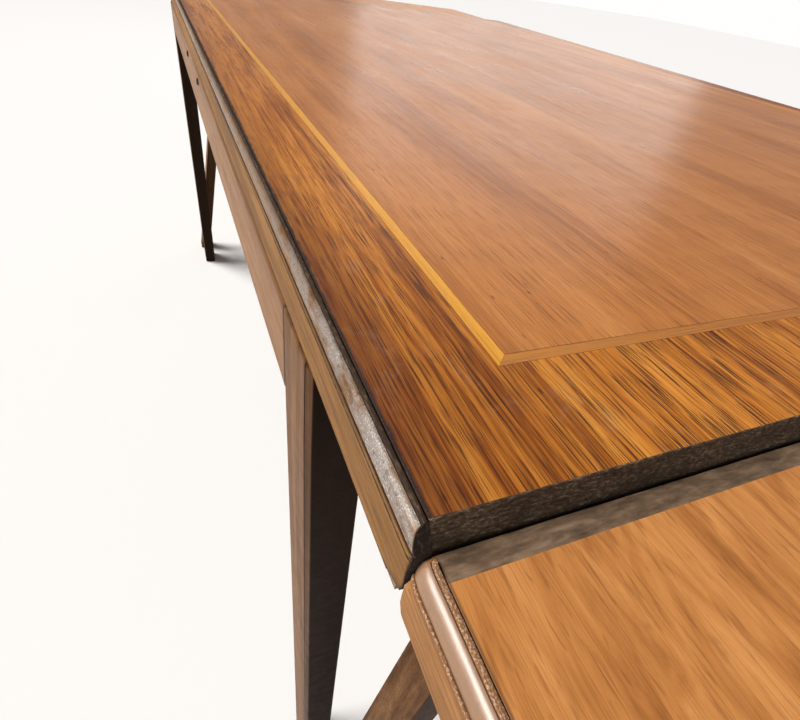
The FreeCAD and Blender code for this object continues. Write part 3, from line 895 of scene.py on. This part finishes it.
def leaf_side_moulding(end, side):
    """The section from the leaf's slope to its outer mitre, with its tip rubbed round."""
    section, dirt_and_shade, marks = leaf_section()
    start = leaf_inner(section[:, 1])
    finish = LEAF_OUT + section[:, 0]
    length = LEAF_OUT - LEAF_IN
    out, place, down = moulding_rings(section, start, finish, length, 31, 5 * END_SHARE)
    tip = np.clip(1 - (place - LEAF_IN) / (5.0 * MM), 0, 1) ** 2
    out = out - (out > BACK_GAP) * tip * 1.6 * MM * (down < 14 * MM)
    down = down + (out > BACK_GAP) * tip * 0.9 * MM * (down < 14 * MM)
    rings = np.stack([SIGN[side] * (SIDE + out), SIGN[end] * place, LEAF_TOP - down], -1)
    return moulding("leaf", side + "_" + end, rings, dirt_and_shade, marks, leaf_moulded)


def leaf_end_moulding(end):
    """The section across the leaf's outer end, mitred at both corners."""
    section, dirt_and_shade, marks = leaf_section()
    reach = SIDE + section[:, 0]
    out, place, down = moulding_rings(section, -reach, reach, 2 * SIDE, 41)
    rings = np.stack([place, SIGN[end] * (LEAF_OUT + out), LEAF_TOP - down], -1)
    return moulding("leaf", "end_" + end, rings, dirt_and_shade, marks, leaf_moulded_end)


# %% Leaf finishes
def banded_leaf_finish():
    """The leaf's own walnut, with the grey-brown band along its inner edge."""
    paint = Paint("walnut_leaf_banded")
    bands, streaks, pores = grain(paint, ACROSS_X, 1.2, 4.0)
    fine = paint.noise((420, 12, 420), (2, 5, 2))
    wavy = paint.noise((88, 15, 88), (1, 2, 7), detail=5, rough=0.62, warp=1.1)
    level = (bands - 0.5) * 0.5 + (streaks - 0.5) * 0.2
    level = level + (wavy - 0.5) * 1.35 + (fine - 0.5) * 0.25 + 0.54
    paint.tone = paint.ramp(
        level,
        (0.15, (0.31, 0.105, 0.025)),
        (0.48, (0.54, 0.215, 0.058)),
        (0.82, (0.73, 0.33, 0.105)),
    )
    flecks = paint.noise((560, 62, 560), (3, 8, 1), warp=0.4)
    paint.over(paint.step(flecks, 0.53, 0.68) * 0.42, (0.2, 0.065, 0.018))
    paint.over(pores * 0.1, (0.12, 0.04, 0.012))
    smoky = paint.noise((62, 210, 210), (1, 6, 2), detail=6, rough=0.68)
    grey = paint.ramp(
        smoky,
        (0.32, (0.05, 0.031, 0.019)),
        (0.5, (0.135, 0.086, 0.052)),
        (0.7, (0.27, 0.18, 0.115)),
    )
    edge = paint.step(paint.mark("band") + (smoky - 0.5) * 0.25, 0.3, 0.6)
    paint.over(edge, grey)
    rim = paint.step(paint.away("X"), SIDE - 1.1 * MM, SIDE - 0.3 * MM)
    paint.over(rim * 0.8, (0.11, 0.052, 0.026))
    dents = paint.bump((pores * -0.6 + fine * 0.2) * (1 - edge), 0.04 * MM)
    return paint.done(smoky * 0.16 + 0.3, dents, specular_ior_level=0.4)


leaf_finish = banded_leaf_finish()
LEAF_EDGE_TONES = ((0.34, 0.162, 0.056), (0.24, 0.108, 0.034), (0.12, 0.05, 0.016))
LEAF_BARE = (0.205, 0.104, 0.046)
leaf_moulded, leaf_moulded_end = (
    edge_finish(name, lay, LEAF_EDGE_TONES, LEAF_BARE, 0.39, 12.0, 1.0, speckle=0.42, pitted=0.3)
    for name, lay in (("leaf_moulded_edge", ACROSS_X), ("leaf_moulded_end", ALONG_X))
)
for end in ENDS:
    leaf_board(end)
    leaf_end_moulding(end)
    for side in SIDES:
        leaf_side_moulding(end, side)
print("leaves", round(float(LEAF_TOP - TOP) / MM, 1), "mm from the top's surface")


# %% [markdown]
# ## The legs
# A main leg is upright on its inner face, tapers on its outer face, and has a flat worked on its
# outer corner with a fine quirk beside it. Its plan is a closed outline in the leg's own width and
# depth, and each ring narrows that plan to the leg's width at its height. The gate's leg is raked:
# the same kind of ring, slid sideways as it goes down.

# %% Main legs
LEG_FLAT = np.array([2.4, 7.0]) * MM
QUIRK = 0.8 * MM
FOOT = 27 * MM
LEG_EDGE = 1.6 * MM
LEG_STEP = 14 * MM


def leg_plan(width, depth):
    """Closed outline from (0, 0) to (width, depth), its flat and quirk at the outer corner."""
    across, along = LEG_FLAT
    corners = [
        (0, 0),
        (width, 0),
        (width, depth - along - 2 * QUIRK),
        (width - QUIRK, depth - along - QUIRK),
        (width, depth - along),
        (width - across, depth),
        (0, depth),
    ]
    radii = np.array([2.0, 1.6, 0.3, 0.2, 0.8, 0.9, 2.0]) * MM
    return eased(corners, radii)


def leg_rings(corner, x, y, heights, low, high):
    """Rings in the table's own place, mirrored to the leg's corner. y starts at its inner face."""
    sx, sy = CORNERS[corner]
    inner = min(abs(low[1]), abs(high[1]))
    z = np.broadcast_to(heights[:, None], x.shape)
    return np.stack([sx * x, sy * (inner + y), z], -1)


def softened(heights, low, high, amount):
    """How much each ring shrinks towards the plan's middle, only close to the low and high ends."""
    near = np.minimum(heights - low, high - heights) / LEG_EDGE
    return amount * quarter(near)[:, None]


def foot_dirt(heights, low):
    """Dirt that fades upwards from the floor and loses a third of itself in every 5 mm."""
    return 0.35 * np.exp(-(heights - low) / (12 * MM))[:, None]


def end_stain_and_shade(x, y, width, depth):
    """1 on the plan's end faces and its inner half, 0 on the outer face, between on its edges. The
    mark is partly a dark stain and partly painted shade on the faces turned from the light.
    """
    inside = np.minimum(y, depth - y)
    edge = 1 - np.clip((inside - 0.2 * MM) / (1.2 * MM), 0, 1)
    return np.maximum(edge, x < 0.5 * width)


def main_leg(corner):
    """The plan at each height, its outer face drawn in from the apron down to the foot."""
    node = "leg_" + corner
    low, high = box_of(node)
    across = high[0] - low[0]
    depth = high[1] - low[1]
    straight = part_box("side_apron_right")[0][2]
    plan = leg_plan(across, depth)
    heights = stations(low[2], high[2], LEG_STEP, LEG_EDGE)
    outer = np.interp(heights, [low[2], straight], [FOOT, across])[:, None]
    shrink = softened(heights, low[2], high[2], 1.5 * MM)
    width = plan[None, :, 0]
    x = width * outer / across
    x = x - np.sign(width - across / 2) * shrink * 0.9
    y = plan[None, :, 1] - np.sign(plan[None, :, 1] - depth / 2) * shrink
    rings = leg_rings(corner, FACE - across + x, y, heights, low, high)
    # The quirk's grime is dirt and painted shade in the groove.
    from_quirk = np.abs(plan[:, 1] - (depth - LEG_FLAT[1] - QUIRK))
    quirk = (from_quirk < 0.75 * MM) & (plan[:, 0] > across - 1.5 * MM)
    dirt_and_shade = quirk[None, :] * 0.7 + foot_dirt(heights, low[2])
    # The stain mark is partly a dark stain and partly painted shade; the quirk's grime is dirt and
    # painted shade.
    marks = {"grime": dirt_and_shade, "stain": end_stain_and_shade(x, y, width.max(), depth)}
    return settle(skin("main_leg_" + corner, rings, marks=marks), node, leg_wood)


for corner in CORNERS:
    main_leg(corner)


# %% Raked gate legs
GATE_LEG_TOP = 30 * MM


def gate_leg(corner):
    """A ring at each height, further out and narrower towards the foot."""
    node = "gate_leg_" + corner
    low, high = box_of(node)
    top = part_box("gate_rail_" + corner)[0][2]
    depth = high[1] - low[1]
    span = high[0] - low[0]
    heights = stations(low[2], top, LEG_STEP, LEG_EDGE)
    share = ((heights - low[2]) / (top - low[2]))[:, None]
    outer = FACE - share * (span - GATE_LEG_TOP)
    width = FOOT + share * (GATE_LEG_TOP - FOOT)
    plan = eased([(0, 0), (1, 0), (1, 1), (0, 1)], 0.06)
    shrink = softened(heights, low[2], np.inf, 1.4 * MM)
    x = outer - width + plan[None, :, 0] * width - np.sign(plan[None, :, 0] - 0.5) * shrink
    y = plan[None, :, 1] * depth - np.sign(plan[None, :, 1] - 0.5) * shrink
    rings = leg_rings(corner, x, y, heights, low, high)
    # The stain mark, weaker here: partly a dark stain and partly painted shade.
    stain = 0.45 * end_stain_and_shade(plan[None, :, 0] * GATE_LEG_TOP, y, GATE_LEG_TOP, depth)
    marks = {"grime": foot_dirt(heights, low[2]), "stain": stain}
    return settle(skin("raked_leg_" + corner, rings, marks=marks), node, leg_wood)


for corner in CORNERS:
    gate_leg(corner)
print("legs", len(CORNERS), "main and", len(CORNERS), "raked")


# %% [markdown]
# ## Rails, blocks and hardware
# The aprons, rails and blocks have holes, notches and knuckles that the working table already gets
# right, and only their edges are too sharp. So each is a copy: the loose triangles are welded and
# merged into flat faces, and a small live Bevel eases every edge, as sandpaper does.

# %% Eased copies
EDGE_ANGLE = 35
ONE_FACE = math.radians(0.8)


def eased_copy(node, name, finish, width):
    """A copy of a node's mesh, merged into flat faces, whose edges are eased by width."""
    mesh = frame["nodes"][node].data.copy()
    shell = bmesh.new()
    shell.from_mesh(mesh)
    bmesh.ops.remove_doubles(shell, verts=shell.verts, dist=0.005 * MM)
    bmesh.ops.dissolve_limit(shell, angle_limit=ONE_FACE, verts=shell.verts, edges=shell.edges)
    shell.to_mesh(mesh)
    shell.free()
    piece = finish_mesh(name, mesh, EDGE_ANGLE)
    bevel = piece.modifiers.new("eased", "BEVEL")
    bevel.width = width
    bevel.segments = 2
    bevel.limit_method = "ANGLE"
    bevel.angle_limit = math.radians(EDGE_ANGLE)
    return settle(piece, node, finish)


FOR_SIDES = (
    ("side_apron_", "apron_", apron_wood, 0.8),
    ("top_bearer_", "bearer_", plain_wood_long, 0.5),
)
FOR_ENDS = (
    ("end_apron_", "apron_", plain_wood, 0.8),
    ("cross_rail_", "rail_", plain_wood, 0.8),
    ("leaf_gate_stops_", "stops_", plain_wood, 0.8),
    ("top_hinge_plates_", "hinges_top_", brass, 0.25),
    ("leaf_hinge_plates_", "hinges_leaf_", brass, 0.25),
)
FOR_CORNERS = (
    ("corner_block_", "block_", plain_wood, 1.0),
    ("gate_hinge_block_", "knuckle_block_", plain_wood, 0.8),
    ("gate_rail_", "swing_rail_", plain_wood, 0.8),
)
for places, kinds in ((SIDES, FOR_SIDES), (ENDS, FOR_ENDS), (CORNERS, FOR_CORNERS)):
    for place in places:
        for node, name, finish, ease in kinds:
            eased_copy(node + place, name + place, finish, ease * MM)
    print("eased", len(places) * len(kinds), "pieces")


# %% Fasteners keep their working shape
for node, piece in frame["nodes"].items():
    if "screws" in node or "pins" in node:
        finish = brass if "hinge" in node else steel
        piece.data.materials.clear()
        piece.data.materials.append(finish)
        print(node, "in", finish.name)


# %% [markdown]
# ## Plugs
# A dark button hides each screw in the side aprons and stands a little proud of the wood. A disc
# would do from the front, but from along the apron only its height shows, so it is turned: its
# profile, domed with a soft rim, is spun about the button's axis.

# %% Turned plugs
PLUG_ROOT = 5 * MM
PLUG_SIDES = 32


def plugs():
    """Four domed buttons: the profile (share of the radius, share of the height) spun about X."""
    low, high = box_of("rail_screw_plugs")
    radius = (high[2] - low[2]) / 2
    centre = (high[2] + low[2]) / 2
    apart = high[1] - radius
    turn = np.linspace(0, 2 * np.pi, PLUG_SIDES + 1)[:-1]
    proud = high[0] - FACE
    edge = arc_between((0.98, 0.2), (0.98, 0.9), (0.55, 0.96), 7)
    profile = np.concatenate([[(0.98, -PLUG_ROOT / proud), (0.98, 0.0)], edge, [(0.05, 0.98)]])
    size = profile[:, 0][:, None] * radius
    rings = []
    for sx in (1, -1):
        for sy in (1, -1):
            y = sy * apart + size * np.cos(turn)
            x = np.broadcast_to(sx * (FACE + proud * profile[:, 1])[:, None], y.shape)
            rings.append(np.stack([x, y, centre + size * np.sin(turn)], -1))
    discs = [skin("plug_%d" % n, ring) for n, ring in enumerate(rings)]
    joined = bmesh.new()
    for disc in discs:
        joined.from_mesh(disc.data)
        bpy.data.objects.remove(disc)
    mesh = bpy.data.meshes.new("apron_plugs")
    joined.to_mesh(mesh)
    joined.free()
    return settle(finish_mesh("apron_plugs", mesh, EDGE_ANGLE), "rail_screw_plugs", plug_wood)


plugs()


# %% [markdown]
# ## Floor, light and camera
# A pale floor and a pale sky stand in for a studio. The strongest light comes from the left and
# behind, so the near end of the table is in its own shade. It is two suns in one place: most of the
# light casts no shine, because a bright sun's reflection would bleach the top in some views. A long
# panel puts only a shine on the mouldings. The camera sees a pale backdrop, while reflections see a
# sky that darkens upwards. The camera looks down over the near left corner of the top, a hand's
# breadth above it.

# %% Stage
FLOOR_HALF = 30.0
FLOOR_GREY = (0.9, 0.9, 0.9, 1.0)


def stage_floor():
    """One square face, FLOOR_HALF out from the middle on each side."""
    mesh = bpy.data.meshes.new("floor")
    corners = [(x * FLOOR_HALF, y * FLOOR_HALF, 0) for x, y in ((-1, -1), (1, -1), (1, 1), (-1, 1))]
    mesh.from_pydata(corners, [], [(0, 1, 2, 3)])
    paint = Paint("pale_floor")
    paint.tone = FLOOR_GREY
    mesh.materials.append(paint.done(0.9))
    placed("floor", mesh)


def turned_to(aim, place):
    """The matrix of a lamp at a place whose light goes the way of aim."""
    aim = np.array(aim, float)
    aim /= np.linalg.norm(aim)
    side = np.cross(aim, (0.0, 0.0, 1.0))
    side /= np.linalg.norm(side)
    axes = np.stack([side, np.cross(side, aim), -aim], -1)
    return Matrix(np.column_stack([axes, place]).tolist() + [[0, 0, 0, 1]])


def area_light(name, place, target, size, power, colour, only=None):
    """A panel of light. With only, it just puts a shine on pieces whose names start with that."""
    lamp = bpy.data.lights.new(name, "AREA")
    lamp.shape = "RECTANGLE"
    lamp.size, lamp.size_y = size
    lamp.energy = power
    lamp.color = colour
    light = placed(name, lamp)
    light.matrix_world = turned_to(np.array(target) - np.array(place), place)
    if only:
        lit = bpy.data.collections.new(name + "_lit")
        for piece in [p for p in bpy.data.objects if p.name.startswith(only)]:
            lit.objects.link(piece)
        light.light_linking.receiver_collection = lit
        light.visible_diffuse = False


# %% Lamps
WINDOW_AIM = (0.73, -0.46, -0.52)
WINDOW_PLACE = (-3.0, 3.0, 3.0)
FAR_END = (0.0, 0.6, 0.74)
NEAR_LEFT_EDGE = (-0.52, -0.9, 0.735)
stage_floor()
for name, energy, shines in (("window", 4.9, False), ("window_glint", 1.1, True)):
    sun = bpy.data.lights.new(name, "SUN")
    sun.energy = energy
    sun.angle = math.radians(46)
    sun.color = (1.0, 0.97, 0.93)
    window = placed(name, sun)
    window.visible_glossy = shines
    window.matrix_world = turned_to(WINDOW_AIM, WINDOW_PLACE)
area_light("far_panel", (3.0, 4.4, 1.9), FAR_END, (3.8, 2.0), 24, (1.0, 0.98, 0.96))
area_light(
    "rounds_strip", (-3.4, -1.35, 2.2), NEAR_LEFT_EDGE, (5.6, 2.0), 760, (1.0, 0.99, 0.98),
    only="moulding",
)

# %% Backdrop and sky
SKY = ((0.02, (1.0, 1.0, 1.0)), (0.16, (0.12, 0.122, 0.13)))
BACKDROP = (1.0, 0.995, 0.985, 1.0)
world = bpy.data.worlds.new("studio")
world.use_nodes = True
sky = world.node_tree
background = sky.nodes["Background"]
background.inputs["Strength"].default_value = 1.0
direction = sky.nodes.new("ShaderNodeTexCoord")
height = sky.nodes.new("ShaderNodeSeparateXYZ")
ramp = sky.nodes.new("ShaderNodeValToRGB")
set_stops(ramp.color_ramp.elements, SKY)
seen = sky.nodes.new("ShaderNodeLightPath")
backdrop = sky.nodes.new("ShaderNodeMix")
backdrop.data_type = "RGBA"
backdrop.inputs[7].default_value = BACKDROP
for source, socket in (
    (direction.outputs["Generated"], height.inputs[0]),
    (height.outputs["Z"], ramp.inputs[0]),
    (seen.outputs["Is Camera Ray"], backdrop.inputs[0]),
    (ramp.outputs[0], backdrop.inputs[6]),
    (backdrop.outputs[2], background.inputs["Color"]),
):
    sky.links.new(source, socket)
bpy.context.scene.world = world
bpy.context.scene.view_settings.view_transform = "Standard"
print("lamps", [lamp.name for lamp in bpy.data.lights])

# %% Camera over the near left corner
CAMERA_RISE = 117 * MM
CAMERA_OUT = 0.428 * CAMERA_RISE
CAMERA_BACK = 0.5535 * CAMERA_RISE
right = np.array([0.9215, -0.3661, 0.1296])
up = np.array([0.137, 0.6187, 0.7736])
back = np.cross(right, up)
eye = np.array([-SIDE - CAMERA_OUT, -END - CAMERA_BACK, TOP + CAMERA_RISE])
lens = bpy.data.cameras.new("camera")
lens.sensor_width = 36.0
lens.lens = 22.47
lens.shift_x = -0.0025
lens.clip_start = 0.01
lens.clip_end = 60.0
camera = placed("camera", lens)
pose = np.column_stack([np.stack([right, up, back], -1), eye]).tolist() + [[0, 0, 0, 1]]
camera.matrix_world = Matrix(pose)
bpy.context.scene.camera = camera
